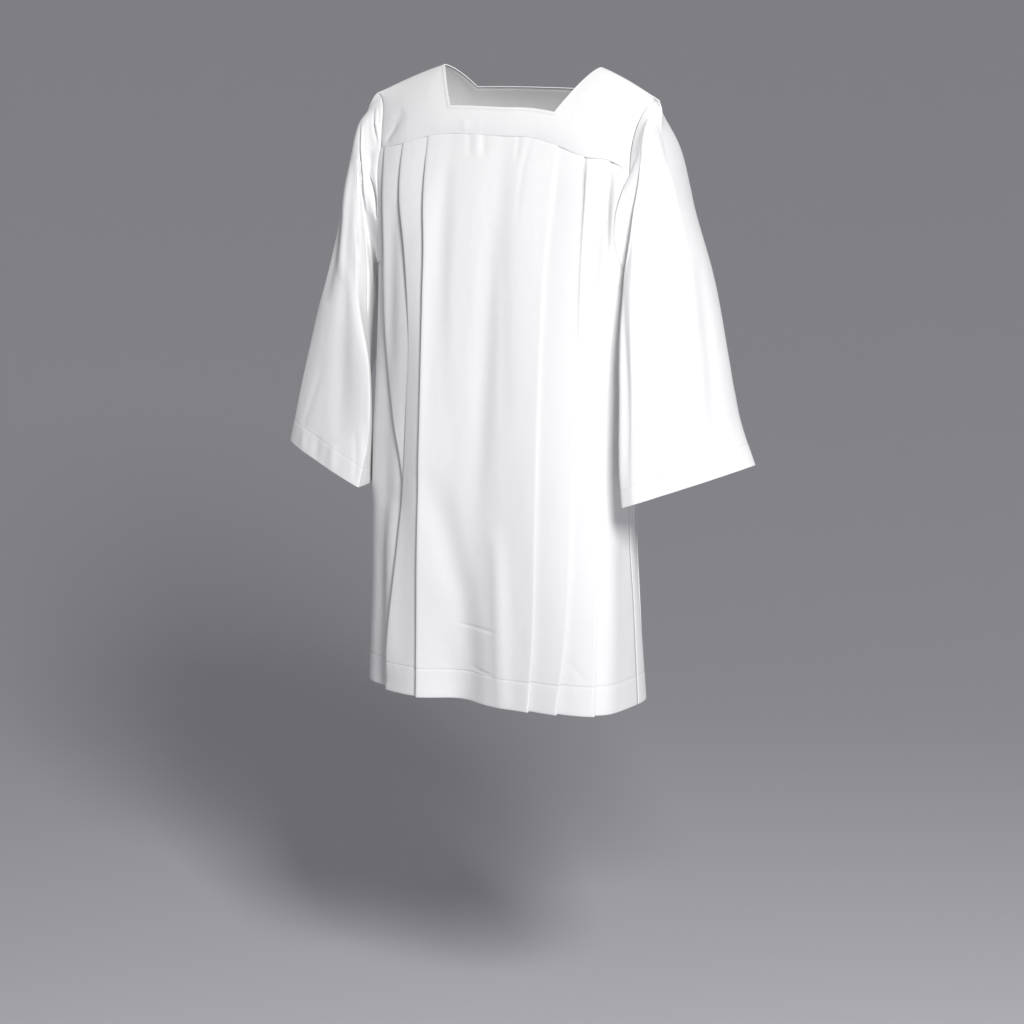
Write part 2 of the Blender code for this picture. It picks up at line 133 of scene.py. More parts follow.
# plan of the body at each level: half widths, side, front and back, squareness of corners
BODY = np.array([
    # z      right   left    side    front    back   sq_r  sq_l  sq_b
    [-0.060, 0.256, 0.248, -0.003, -0.066, 0.066, 2.60, 2.60, 2.40],
    [-0.100, 0.254, 0.245, -0.004, -0.077, 0.082, 2.60, 2.60, 2.40],
    [-0.150, 0.250, 0.238, -0.006, -0.093, 0.094, 2.60, 2.60, 2.40],
    [-0.220, 0.243, 0.226, -0.009, -0.110, 0.102, 2.60, 2.60, 2.40],
    [-0.300, 0.237, 0.216, -0.012, -0.122, 0.100, 2.60, 2.60, 2.40],
    [-0.420, 0.235, 0.206, -0.018, -0.133, 0.094, 2.60, 2.70, 2.40],
    [-0.600, 0.238, 0.201, -0.027, -0.145, 0.086, 2.60, 3.00, 2.40],
    [-0.700, 0.238, 0.203, -0.030, -0.149, 0.084, 2.60, 3.30, 2.40],
    [-0.800, 0.237, 0.212, -0.033, -0.153, 0.086, 2.60, 3.60, 2.40],
    [-0.960, 0.241, 0.222, -0.035, -0.160, 0.095, 2.60, 4.20, 2.40],
])
# level of the yoke seam, by x
SEAM = {
    "front": np.array([
        # x      z
        [-0.230, -0.128], [-0.205, -0.124], [-0.170, -0.117], [-0.125, -0.105],
        [-0.085, -0.100], [-0.040, -0.100], [0.000, -0.101], [0.055, -0.102],
        [0.100, -0.112], [0.148, -0.128], [0.190, -0.134], [0.206, -0.142], [0.220, -0.154],
    ]),
    "back": np.array([
        # x      z
        [-0.230, -0.134], [-0.120, -0.118], [0.000, -0.113], [0.120, -0.121], [0.230, -0.148],
    ]),
}
# how far each folded edge is from the centre line, by level; -1 is the wearer's right
EDGES = {
    ("front", -1): np.array([
        # z      first   second  third
        [-0.110, 0.124, 0.173, 0.216], [-0.200, 0.113, 0.164, 0.207],
        [-0.260, 0.104, 0.150, 0.201], [-0.340, 0.099, 0.137, 0.197],
        [-0.420, 0.096, 0.130, 0.189], [-0.520, 0.093, 0.131, 0.166],
        [-0.630, 0.092, 0.134, 0.139], [-0.740, 0.092, 0.141, 0.137],
        [-0.850, 0.092, 0.152, 0.146], [-0.960, 0.093, 0.163, 0.156],
    ]),
    ("front", 1): np.array([
        # z      first   second  third
        [-0.110, 0.104, 0.147, 0.186], [-0.190, 0.106, 0.151, 0.191],
        [-0.280, 0.104, 0.153, 0.195], [-0.400, 0.103, 0.155, 0.195],
        [-0.540, 0.104, 0.158, 0.194], [-0.700, 0.106, 0.160, 0.198],
        [-0.840, 0.108, 0.158, 0.202], [-0.960, 0.103, 0.148, 0.204],
    ]),
    ("back", -1): np.array([
        # z      first   second  third
        [-0.110, 0.098, 0.142, 0.184], [-0.400, 0.094, 0.139, 0.180],
        [-0.700, 0.097, 0.140, 0.187], [-0.960, 0.104, 0.151, 0.200],
    ]),
    ("back", 1): np.array([
        # z      first   second  third
        [-0.110, 0.096, 0.140, 0.180], [-0.400, 0.092, 0.136, 0.176],
        [-0.700, 0.094, 0.139, 0.180], [-0.960, 0.100, 0.148, 0.190],
    ]),
}
# how the pleats stand, by level: how deep a fold runs under its edge, the gap between two
# layers, how far each edge lifts, and what multiplies the gap at the second and third fold
STAND = {
    ("front", -1): np.array([
        # z      under  layers  lift_1  lift_2  lift_3  second third
        [-0.100, 0.024, 0.0010, 0.0006, 0.0006, 0.0006, 1.0, 1.0],
        [-0.118, 0.024, 0.0012, 0.0008, 0.0008, 0.0008, 1.0, 1.0],
        [-0.145, 0.025, 0.0028, 0.0030, 0.0024, 0.0016, 1.0, 1.0],
        [-0.180, 0.025, 0.0040, 0.0056, 0.0036, 0.0030, 1.0, 1.0],
        [-0.300, 0.026, 0.0046, 0.0110, 0.0040, 0.0030, 0.9, 1.0],
        [-0.450, 0.024, 0.0034, 0.0150, 0.0025, 0.0010, 0.12, 1.0],
        [-0.650, 0.024, 0.0030, 0.0170, 0.0020, 0.0010, 1.0, 1.0],
        [-0.960, 0.030, 0.0040, 0.0150, 0.0060, 0.0050, 1.0, 1.0],
    ]),
    ("front", 1): np.array([
        # z      under  layers  lift_1  lift_2  lift_3  second third
        [-0.100, 0.024, 0.0010, 0.0006, 0.0006, 0.0006, 1.0, 1.0],
        [-0.130, 0.024, 0.0011, 0.0006, 0.0010, 0.0004, 1.6, 1.2],
        [-0.180, 0.025, 0.0012, 0.0006, 0.0032, 0.0004, 3.8, 3.0],
        [-0.300, 0.026, 0.0013, 0.0010, 0.0030, 0.0004, 2.6, 1.0],
        [-0.450, 0.024, 0.0018, 0.0020, 0.0012, 0.0014, 1.0, 1.0],
        [-0.650, 0.024, 0.0026, 0.0034, 0.0016, 0.0022, 1.0, 1.0],
        [-0.960, 0.030, 0.0044, 0.0070, 0.0050, 0.0056, 1.0, 1.0],
    ]),
    ("back", 0): np.array([
        # z      under  layers  lift_1  lift_2  lift_3  second third
        [-0.100, 0.026, 0.0010, 0.0006, 0.0006, 0.0006, 1.0, 1.0],
        [-0.125, 0.026, 0.0012, 0.0008, 0.0008, 0.0008, 1.0, 1.0],
        [-0.180, 0.026, 0.0024, 0.0020, 0.0020, 0.0020, 1.0, 1.0],
        [-0.300, 0.027, 0.0030, 0.0040, 0.0035, 0.0035, 1.0, 1.0],
        [-0.960, 0.032, 0.0050, 0.0070, 0.0065, 0.0065, 1.0, 1.0],
    ]),
}
# how thick a pressed edge is, by level: one turn of cloth, and more where the hem is in it
FOLD = np.array([
    # z      thick
    [-0.957, 0.0026], [-0.915, 0.0026], [-0.909, 0.0012], [-0.100, 0.0009],
])
# how far the armhole's edge is from the centre line, by share of the panel's length
ARMHOLE = {
    ("front", -1): np.array([
        # share  reach
        [0.00, 0.227], [0.04, 0.235], [0.10, 0.230], [0.15, 0.228], [0.19, 0.243],
    ]),
    ("front", 1): np.array([
        # share  reach
        [0.00, 0.219], [0.04, 0.210], [0.10, 0.203], [0.15, 0.209], [0.19, 0.232],
    ]),
    ("back", -1): np.array([
        # share  reach
        [0.00, 0.226], [0.04, 0.220], [0.10, 0.214], [0.15, 0.220], [0.19, 0.244],
    ]),
    ("back", 1): np.array([
        # share  reach
        [0.00, 0.218], [0.04, 0.211], [0.10, 0.205], [0.15, 0.209], [0.19, 0.232],
    ]),
}
# soft troughs (-) and ridges (+) at a run s from the centre line and a level z
SOFT = {
    "front": np.array([
        # s      z      lean  length width  depth
        [-0.035, -0.975, 0.00, 0.130, 0.040, -0.024],
        [0.178, -0.275, 0.06, 0.090, 0.011, -0.006],
        [0.010, -0.420, 0.02, 0.260, 0.020, -0.005],
        [-0.080, -0.330, 0.00, 0.190, 0.018, -0.004],
        [-0.190, -0.780, 0.02, 0.260, 0.018, -0.006],
        [0.225, -0.800, 0.00, 0.200, 0.022, 0.006],
    ]),
    "back": np.array([
        # s      z      lean  length width  depth
        [0.030, -0.960, 0.03, 0.260, 0.040, -0.018],
        [-0.050, -0.500, 0.02, 0.260, 0.024, -0.006],
        [0.225, -0.700, 0.00, 0.280, 0.020, -0.006],
        [-0.235, -0.760, 0.00, 0.260, 0.022, -0.007],
    ]),
}
# creases and small folds, each through points (s, z)
PANEL_FOLDS = {
    "front": [
        # width depth   points
        (0.0240, -0.0060, (-0.080, -0.600), (-0.048, -0.700), (-0.024, -0.790), (-0.008, -0.880),
         (0.006, -0.990)),
        (0.0150, 0.0046, (0.036, -0.680), (0.044, -0.760), (0.050, -0.850), (0.054, -0.920),
         (0.056, -0.990)),
        (0.0022, -0.0014, (-0.032, -0.8375), (-0.012, -0.8400), (0.011, -0.8404), (0.046, -0.8440)),
        (0.0020, -0.0015, (-0.010, -0.9020), (0.008, -0.9060), (0.042, -0.9100)),
        (0.0016, -0.0006, (0.0520, -0.8550), (0.0530, -0.9000), (0.0550, -0.9280)),
        (0.0040, -0.0006, (0.158, -0.872), (0.166, -0.881), (0.192, -0.906)),
        (0.0032, -0.0011, (-0.0500, -0.0900), (-0.0480, -0.1080), (-0.0430, -0.1340)),
        (0.0036, -0.0013, (-0.0250, -0.0900), (-0.0230, -0.1080), (-0.0170, -0.1360)),
        (0.0060, 0.0008, (-0.0370, -0.0900), (-0.0340, -0.1100), (-0.0290, -0.1400)),
        (0.0030, -0.0012, (0.0360, -0.0900), (0.0370, -0.1060), (0.0390, -0.1360)),
        (0.0026, -0.0009, (0.0600, -0.0900), (0.0520, -0.1430), (0.0530, -0.2400)),
        (0.0110, -0.0010, (-0.0820, -0.1300), (-0.0740, -0.2000), (-0.0640, -0.3600),
         (-0.0520, -0.5600)),
        (0.0110, -0.0010, (0.0180, -0.1600), (0.0290, -0.2000), (0.0380, -0.3400),
         (0.0500, -0.5600)),
        (0.0120, -0.0030, (0.1620, -0.1600), (0.1660, -0.2400), (0.1760, -0.4000)),
        (0.0130, -0.0040, (0.2000, -0.3400), (0.2040, -0.4300), (0.2100, -0.5600)),
        (0.0140, -0.0035, (-0.1860, -0.2000), (-0.1800, -0.3300), (-0.1700, -0.4600)),
        (0.0300, 0.0090, (-0.1650, -0.6600), (-0.1640, -0.7800), (-0.1650, -0.9400)),
    ],
    "back": [
        # width depth   points
        (0.0032, -0.0016, (-0.0300, -0.1000), (-0.0280, -0.1250), (-0.0240, -0.1500)),
        (0.0036, -0.0014, (0.0140, -0.1000), (0.0150, -0.1250), (0.0200, -0.1560)),
        (0.0110, -0.0026, (-0.0500, -0.1500), (-0.0420, -0.3200), (-0.0300, -0.5400)),
        (0.0100, -0.0022, (0.0420, -0.1600), (0.0500, -0.3600), (0.0420, -0.6000)),
        (0.0170, -0.0060, (0.0700, -0.6200), (0.0480, -0.7600), (0.0200, -0.8900),
         (0.0100, -0.9900)),
        (0.0024, -0.0020, (0.0100, -0.8000), (0.0340, -0.8060), (0.0600, -0.8040)),
        (0.0130, -0.0034, (-0.1700, -0.2000), (-0.1740, -0.3600), (-0.1680, -0.5200)),
        (0.0120, -0.0034, (0.1640, -0.1900), (0.1700, -0.3400), (0.1640, -0.4600)),
        (0.0100, 0.0024, (-0.2200, -0.5400), (-0.2240, -0.7000), (-0.2200, -0.9100)),
    ],
}


def along(table, at):
    """The table's other columns where its first column is 'at', eased through the rows."""
    rows = table if table[0, 0] < table[-1, 0] else table[::-1]
    key = rows[:, 0]
    slope = np.gradient(rows[:, 1:], key, axis=0)
    at = np.clip(np.asarray(at, float), key[0], key[-1])
    i = np.clip(np.searchsorted(key, at, side="right") - 1, 0, len(key) - 2)
    h = (key[i + 1] - key[i])[..., None]
    t = ((at - key[i])[..., None]) / h
    a, b = rows[i, 1:], rows[i + 1, 1:]
    ease = t * t * (3 - 2 * t)
    return a + (b - a) * ease + h * t * (1 - t) * ((1 - t) * slope[i] - t * slope[i + 1])


def quarter(z, left, face):
    """The plan's outline from the centre line to the side seam, and the run along it."""
    row = along(BODY, z)
    wide = np.where(left, row[..., 1], row[..., 0])[..., None]
    side = row[..., 2][..., None]
    deep = row[..., 3 if face == "front" else 4][..., None] - side
    square = np.where(left, row[..., 6], row[..., 5]) if face == "front" else row[..., 7]
    t = np.linspace(0, 1, 161)
    turn = np.pi / 2 * t * t * (3 - 2 * t)
    x = wide * np.sin(turn) ** (2 / square[..., None])
    y = side + deep * np.abs(np.cos(turn)) ** (2 / square[..., None])
    step = np.hypot(np.diff(x), np.diff(y))
    return x, y, np.concatenate([np.zeros(x.shape[:-1] + (1,)), np.cumsum(step, axis=-1)], -1)


def plan(s, z, face):
    """Point and outward normal at s metres from the centre line (+ to the wearer's left)."""
    s, z = np.broadcast_arrays(np.asarray(s, float), np.asarray(z, float))
    left = s > 0
    x, y, run = quarter(z, left, face)
    want = np.clip(np.abs(s)[..., None], 0, run[..., -1:])
    i = np.clip((run < want).sum(-1) - 1, 0, x.shape[-1] - 2)[..., None]

    def pick(a, k):
        return np.take_along_axis(a, k, -1)

    f = (want - pick(run, i)) / np.maximum(pick(run, i + 1) - pick(run, i), 1e-9)
    px = (pick(x, i) + f * (pick(x, i + 1) - pick(x, i)))[..., 0]
    py = (pick(y, i) + f * (pick(y, i + 1) - pick(y, i)))[..., 0]
    # the normal is eased between its two neighbours, so the cloth has no facets
    slopes = []
    for k in (i, i + 1):
        lo, hi = np.maximum(k - 2, 0), np.minimum(k + 2, x.shape[-1] - 1)
        slopes.append(np.stack([(pick(x, hi) - pick(x, lo))[..., 0],
                                (pick(y, hi) - pick(y, lo))[..., 0]], -1))
        slopes[-1] /= np.linalg.norm(slopes[-1], axis=-1, keepdims=True)
    tx, ty = np.moveaxis(slopes[0] + (slopes[1] - slopes[0]) * np.clip(f, 0, 1), -1, 0)
    size = np.hypot(tx, ty)
    hand = np.where(left, 1.0, -1.0)
    out = 1.0 if face == "front" else -1.0
    return np.stack([px * hand, py], -1), np.stack([ty / size * hand * out, -tx / size * out], -1)


def fall(face, share, x):
    """Level of a share of a panel's length, under the point x of the yoke seam."""
    top = along(SEAM[face], x)[..., 0] - SEAM_GAP / 2
    return top + (HEM_Z - top) * share


def soft(table, s, z):
    """How far the soft folds of a table stand off the surface."""
    total = np.zeros(np.broadcast(s, z).shape)
    for s0, z0, lean, length, width, depth in table:
        across = (s - s0 - lean * (z - z0)) / width
        total += depth * np.exp(-across ** 2 - ((z - z0) / length) ** 2)
    return total


def folds(table, u, v, wrap=1e9):
    """How far folds stand off the surface: each is a width, a depth and a run of points."""
    total = np.zeros(np.broadcast(u, v).shape)
    for width, depth, *points in table:
        points = np.array(points)
        step = np.diff(points, axis=0)
        size = np.hypot(*step.T)
        far, share = np.full(total.shape, 1e9), np.zeros(total.shape)
        for k, ((a, b), (du, dv)) in enumerate(zip(points, step)):
            near = (u - a - du / 2 + wrap / 2) % wrap - wrap / 2 + du / 2
            t = np.clip((near * du + (v - b) * dv) / size[k] ** 2, 0, 1)
            off = (near - t * du) ** 2 + (v - b - t * dv) ** 2
            share = np.where(off < far, (size[:k].sum() + t * size[k]) / size.sum(), share)
            far = np.minimum(off, far)
        total += depth * np.exp(-far / width ** 2) * (1 - np.abs(2 * share - 1) ** 3)
    return total


def turn(centre, radius, first, last, count):
    """Points of a round fold, seen from above, between two angles in degrees."""
    return [(centre[0] + radius[0] * math.cos(a), centre[1] + radius[1] * math.sin(a))
            for a in np.radians(np.linspace(first, last, count))]


def line(a, b, count, ease=1.0):
    """Points from a to b, without b."""
    return [(a[0] + (b[0] - a[0]) * f, a[1] + (b[1] - a[1]) * f ** ease)
            for f in np.arange(count) / count]


def climb(a, b, count, bank):
    """Points from a to b, without b; the share 'bank' is climbed in the first 2 mm."""
    made = []
    for f in (np.arange(count) / count) ** (1.6 if bank else 1.0):
        gone = f * (b[0] - a[0])
        share = bank * (1 - math.exp(-gone / 0.0010)) + (1 - bank) * f
        made.append((a[0] + gone, a[1] + (b[1] - a[1]) * share))
    return made


def half_row(face, hand, share):
    """Run and lift of the points of one half of a pleated row, centre line to side."""
    at = np.array([fall(face, share, hand * x) for x in FOLD_X])
    edge = along(EDGES[face, hand], at)[[0, 1, 2], [0, 1, 2]]
    stand = along(STAND[face, hand if face == "front" else 0], at)
    under, gap = stand[:, 0], stand[:, 1] * [1.0, stand[1, 5], stand[2, 6]]
    lift = stand[[0, 1, 2], [2, 3, 4]]
    thick = np.interp(at, *FOLD.T)
    reach = along(ARMHOLE[face, hand], share)[0]
    if share >= UNDERARM:
        reach = quarter(fall(face, share, hand * SIDE_X), hand > 0, face)[2][-1]
    points = []
    start = (0.0, 0.0)
    for k in range(3):
        if k == 2:
            clear = np.clip((edge[2] - edge[1]) / COVER, 0, 1) ** 2
            lift[2] = start[1] + (lift[2] - start[1]) * clear
        tuck = edge[k] - min(under[k], 0.8 * (edge[k] - start[0]))
        way = (tuck - start[0]) / (edge[k] - start[0])
        high = start[1] + (lift[k] - start[1]) * (way if k else way ** 2)
        round_ = min(thick[k], gap[k]) / 2
        if k:
            # a layer that starts deep beside the fold above it climbs out of that gap steeply
            bank = 0.65 * np.clip((stand[1, 5] - 1) / 1.3, 0, 1) if k == 2 else 0.0
            points += climb(start, (edge[k] - round_, lift[k]), 12, bank)
        else:
            points += line(start, (edge[k] - round_, lift[k]), 27, 2.0)
        points += turn((edge[k] - round_, lift[k] - round_), (round_, round_), 90, -90, 5)
        inner = gap[k] / 2
        points += line((edge[k] - round_, lift[k] - 2 * round_),
                       (tuck + inner, high - gap[k]), 4)[1:]
        points += turn((tuck + inner, high - gap[k] - inner), (inner, inner), 90, 270, 5)
        if k < 2:
            out = min(edge[k] + PAST_EDGE, (tuck + edge[k + 1]) / 2)
            way = min((out - tuck) / (edge[k] - tuck), 1)
            after = (out, high + (lift[k] - high) * way - 2 * gap[k])
        else:
            after = (max(edge[1], edge[2]) + PAST_EDGE, lift[2] - 2 * gap[2])
        points += line((tuck + inner, high - 2 * gap[k]), after, 4)[1:]
        start = after
    end = reach - SEAM_GAP / 2
    points += [(start[0] + (end - start[0]) * f, start[1] * (1 - f) ** 2)
               for f in np.linspace(0, 1, 19)]
    return points


def beside(mid, away):
    """A row of points seen from above, moved sideways to the left of its run."""
    step = np.diff(mid, axis=0)
    step /= np.maximum(np.hypot(*step.T), 1e-9)[:, None]
    left = np.stack([-step[:, 1], step[:, 0]], -1)
    before = np.vstack([left[:1], left])
    after = np.vstack([left, left[-1:]])
    corner = before + after
    corner /= np.maximum(1 + (before * after).sum(1), 0.35)[:, None]
    return mid + corner * away


# rows of a panel: share of the length, and how far to the wrong side of the cloth; the
# rows before the first whole one sink into the yoke seam, all layers together
hem_share = 1 - BODY_HEM / PANEL_LENGTH
PANEL_ROWS = [(0.0030, 0.0042), (0.0010, 0.0028), (0.0, 0.0012)]
PANEL_ROWS += [(0.0006, 0.0003)] + [(v, 0.0) for v in np.linspace(0.0022, 0.058, 26)]
PANEL_ROWS += [(v, 0.0) for v in np.linspace(0.0640, 0.845, 110)]
PANEL_ROWS += [(v, 0.0) for v in np.linspace(0.8500, hem_share - 0.004, 40)]
PANEL_ROWS += [(hem_share - 0.0015, 0.0), (hem_share, 0.0003), (hem_share + 0.0015, 0.0)]
PANEL_ROWS += [(v, -0.0002) for v in np.linspace(hem_share + 0.004, 0.9985, 11)]
PANEL_ROWS += [(0.9996, 0.0), (1.0, 0.0006), (0.9996, 0.0012), (0.9985, 0.0014)]
PANEL_ROWS += [(0.975, 0.0014), (hem_share + 0.0008, 0.0012), (hem_share, 0.0006)]


def panel(face):
    """Points of a panel row by row, and the cloth's own measure across and up from the hem."""
    points, measure = [], []
    for k, (share, wrong) in enumerate(PANEL_ROWS):
        left, right = half_row(face, -1, share), half_row(face, 1, share)
        run, off = np.array([(-s, o) for s, o in reversed(left[1:])] + right).T
        level = fall(face, share, run)
        off = off + soft(SOFT[face], run, level) + folds(PANEL_FOLDS[face], run, level)
        at, out = plan(run, level, face)
        mid = at + out * off[:, None]
        way = np.hypot(*np.diff(mid, axis=0).T)
        across = np.concatenate([[0], np.cumsum(way)])
        across -= across[len(left) - 1]
        if k < 4:
            mid = mid - out * wrong
        else:
            mid = beside(mid, (1 if face == "front" else -1) * wrong)
        points.append(np.column_stack([mid, level]))
        up = level - HEM_Z
        # the hem's inside is measured below 0, away from the stitched line
        measure.append(np.column_stack([across, -up - 0.2 if k > len(PANEL_ROWS) - 6 else up]))
    return np.array(points), np.array(measure)


def sheet(name, points, measure, closed, material):
    """A sheet of cloth through rows of points, with the cloth's own measure as its UV map."""
    rows, columns = points.shape[:2]
    work = bmesh.new()
    bmesh.ops.create_grid(work, x_segments=columns - 1, y_segments=rows - 1, size=1)
    order = sorted(work.verts, key=lambda v: (-round(v.co.y, 5), round(v.co.x, 5)))
    place, flat = points.reshape(-1, 3), measure.reshape(-1, 2)
    number = {}
    for k, vert in enumerate(order):
        vert.co = place[k]
        number[vert] = k
    layer = work.loops.layers.uv.new("cloth")
    for face in work.faces:
        face.smooth = True
        for loop in face.loops:
            loop[layer].uv = flat[number[loop.vert]]
    if closed:
        bmesh.ops.remove_doubles(work, verts=work.verts, dist=1e-6)
    mesh = bpy.data.meshes.new(name)
    work.to_mesh(mesh)
    work.free()
    mesh.materials.append(material)
    piece = bpy.data.objects.new(name, mesh)
    bpy.context.scene.collection.objects.link(piece)
    return piece


def outward(piece, inside):
    """Turns the faces of a sheet away from points inside the garment."""
    mesh = piece.data
    centres = np.empty(len(mesh.polygons) * 3)
    normals = np.empty(len(mesh.polygons) * 3)
    mesh.polygons.foreach_get("center", centres)
    mesh.polygons.foreach_get("normal", normals)
    if ((centres.reshape(-1, 3) - inside) * normals.reshape(-1, 3)).sum() < 0:
        mesh.flip_normals()


def walled(piece, thick):
    """Gives a sheet its thickness, inwards from its right side."""
    wall = piece.modifiers.new("wall", "SOLIDIFY")
    wall.thickness = thick
    wall.offset = 0
    wall.use_even_offset = False
    wall.use_rim = True


class Maths:
    """A socket that can be used in sums; each operator adds a Math node."""

    def __init__(self, tree, socket):
        self.tree, self.socket = tree, socket

    def node(self, kind, settings=(), **inputs):
        made = self.tree.nodes.new(kind)
        for key, value in dict(settings).items():
            setattr(made, key, value)
        for key, value in inputs.items():
            spot = made.inputs[int(key[1:]) if key[1:].isdigit() else key]
            if isinstance(value, Maths):
                self.tree.links.new(value.socket, spot)
            else:
                spot.default_value = value
        return made

    def sum(self, operation, *others):
        values = (self,) + others
        made = self.node("ShaderNodeMath", {"operation": operation},
                         **{"i%d" % k: v for k, v in enumerate(values)})
        return Maths(self.tree, made.outputs[0])

    def of(self, made, output=0):
        return Maths(self.tree, made.outputs[output])

    def __add__(self, other): return self.sum("ADD", other)
    def __radd__(self, other): return self.sum("ADD", other)
    def __mul__(self, other): return self.sum("MULTIPLY", other)
    def __rmul__(self, other): return self.sum("MULTIPLY", other)
    def __sub__(self, other): return self.sum("SUBTRACT", other)
    def __rsub__(self, other): return (self * -1.0).sum("ADD", other)
    def __truediv__(self, other): return self.sum("DIVIDE", other)

    def bell(self, middle, width):
        """1 at the middle, falling softly to 0 about twice the width away."""
        offset = (self - middle) / width
        return (offset * offset * -1.0).sum("EXPONENT")


def plain_weave(name, colour, hem):
    """Matte white cloth: fine plain weave, faint slubs, and a stitched line above the hem with
    painted shade along it.
    """
    material = bpy.data.materials.new(name)
    material.use_nodes = True
    tree = material.node_tree
    base = tree.nodes["Principled BSDF"]
    start = Maths(tree, None)
    cloth = start.node("ShaderNodeUVMap", {"uv_map": "cloth"})
    split = start.node("ShaderNodeSeparateXYZ", i0=start.of(cloth))
    u, v = start.of(split, 0), start.of(split, 1)

    pitch = 0.00075        # of the yarns
    stitch_pitch = 0.0028
    warp = (u * (math.pi / pitch)).sum("SINE")
    weft = (v * (math.pi / pitch)).sum("SINE")
    weave = warp * weft

    def yarns(scale_u, scale_v, seed):
        mapping = start.node("ShaderNodeCombineXYZ", i0=u * scale_u, i1=v * scale_v, i2=seed)
        noise = start.node("ShaderNodeTexNoise", i0=start.of(mapping), Scale=1.0, Detail=2.0)
        return start.of(noise) - 0.5

    slub = yarns(900.0, 14.0, 0.0) + yarns(12.0, 900.0, 4.0)
    crumple = yarns(26.0, 9.0, 9.0)

    # the stitched line: small dimples, and the cloth sinks a little along them; the colour is
    # darkened along them too, as painted shade of those dimples
    stitch_line = v.bell(hem, 0.0007)
    dashes = (u * (2 * math.pi / stitch_pitch)).sum("SINE") * 0.5 + 0.5
    stitch_dent_and_shade = stitch_line * (0.5 + 0.5 * dashes)

    height = weave * 0.00003 + slub * 0.00005 + crumple * 0.0012 - stitch_dent_and_shade * 0.00035
    bump = start.node("ShaderNodeBump", Strength=1.0, Distance=1.0, Height=height)
    tree.links.new(bump.outputs[0], base.inputs["Normal"])

    # the colour: faint slubs of the yarn, and painted shade that darkens the stitched line
    shade = 1.0 + slub * 0.035 - stitch_dent_and_shade * 0.10
    tint = start.node("ShaderNodeMix", {"data_type": "RGBA", "blend_type": "MULTIPLY"})
    tint.inputs[0].default_value = 1.0
    tint.inputs[6].default_value = (*colour, 1)
    grey = start.node("ShaderNodeCombineXYZ", i0=shade, i1=shade, i2=shade)
    tree.links.new(grey.outputs[0], tint.inputs[7])
    tree.links.new(tint.outputs[2], base.inputs["Base Color"])
    base.inputs["Roughness"].default_value = 0.92
    base.inputs["Specular IOR Level"].default_value = 0.25
    base.inputs["Sheen Weight"].default_value = 0.12
    base.inputs["Sheen Roughness"].default_value = 0.5
    return material


white = (0.90, 0.90, 0.90)
panel_cloth = plain_weave("panel_cloth", white, BODY_HEM)
for face in ("front", "back"):
    points, measure = panel(face)
    piece = sheet("pleated_" + face, points, measure, False, panel_cloth)
    outward(piece, (0, -0.02, -0.5))
    walled(piece, CLOTH)
    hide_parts("panel_" + face)
    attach(piece, "root")

# ---- Yokes ----------------------------------------------------------------------------
# The square yoke: a front and a back piece of the same cloth that meet on the shoulders.
# The neck edge is turned in and stitched close to the edge, and the pleats hang from the
# lower edge.

YOKE_CLOTH = 0.0010
# the shoulder line
RIDGE = np.array([
    # |x|    z       y
    [0.100, 0.001, -0.002], [0.137, 0.000, -0.005], [0.170, -0.011, -0.011],
    [0.210, -0.028, -0.020], [0.250, -0.047, -0.030],
])
TIP = 0.247            # |x| of the shoulder tip
NECK_TOP = 0.137       # |x| of the neck on the shoulder line
NECK_FOOT = 0.152      # |x| of the seam under it
CORNER_FOOT = 0.008    # how much further out the seam lies under the neck's corner
NECK = {"front": (0.091, 0.64), "back": (0.108, 0.38)}   # corner's x, share of the way down
YOKE_FALL = 0.68       # below 1: the cloth falls away sooner after the ridge


def top_edge(face):
    """The x, y and z of points along a panel's top edge, which the yoke's lower edge follows."""
    run = np.linspace(-0.262, 0.262, 263)
    level = along(SEAM[face], run)[:, 0]
    at, _ = plan(run, level, face)
    return at[:, 0], at[:, 1], level


top_edges = {face: top_edge(face) for face in ("front", "back")}


def shoulder(face, x, way):
    """A point of the shoulder surface, from the ridge (0) down to the yoke seam (1)."""
    ridge, crest = np.moveaxis(along(RIDGE, np.abs(x)), -1, 0)
    edge_x, edge_y, edge_z = top_edges[face]
    seam, deep = np.interp(x, edge_x, edge_z), np.interp(x, edge_x, edge_y)
    angle = np.asarray(way, float) * np.pi / 2
    y = crest + (deep - crest) * np.sin(angle)
    z = ridge + (seam - ridge) * (1 - np.cos(angle)) ** YOKE_FALL
    return np.stack([np.broadcast_to(x, z.shape), y, z], -1)


def yoke(face, side_count, neck_count, band_count, downs):
    """Rows of a yoke's middle surface, from the ridge and the neck down to the seam."""
    corner, low = NECK[face]
    halves = []
    for hand in (-1, 1):
        seam_end = abs(plan(hand * ARMHOLE[face, hand][0, 1], SEAM[face][0 if hand < 0 else -1, 1],
                            face)[0][0])
        side = []
        # each column: x at its top, share of the way down there, x at the seam, how drawn in
        for f in np.arange(side_count) / side_count:
            side.append((TIP + (NECK_TOP - TIP) * f, 0.0,
                         seam_end + (NECK_FOOT - seam_end) * f, 2 * (1 - f)))
        for f in np.linspace(0, 1, neck_count):
            side.append((NECK_TOP + (corner - NECK_TOP) * f, low * f,
                         NECK_FOOT + (corner + CORNER_FOOT - NECK_FOOT) * f, 0.0))
        halves.append([(hand * a, b, hand * c, d) for a, b, c, d in side])
    band = [(corner * f, low, (corner + CORNER_FOOT) * f, 0.0)
            for f in np.linspace(-1, 1, band_count)[1:-1]]
    top, start, foot, drawn = np.array(halves[0] + band + halves[1][::-1]).T
    rows, power = [], 1 + drawn
    for down in downs:
        way = start + (1 - start) * down
        x = foot + (top - foot) * (1 - way) ** power / np.maximum(1 - start, 1e-6) ** power
        rows.append(shoulder(face, x, way))
    return np.array(rows)


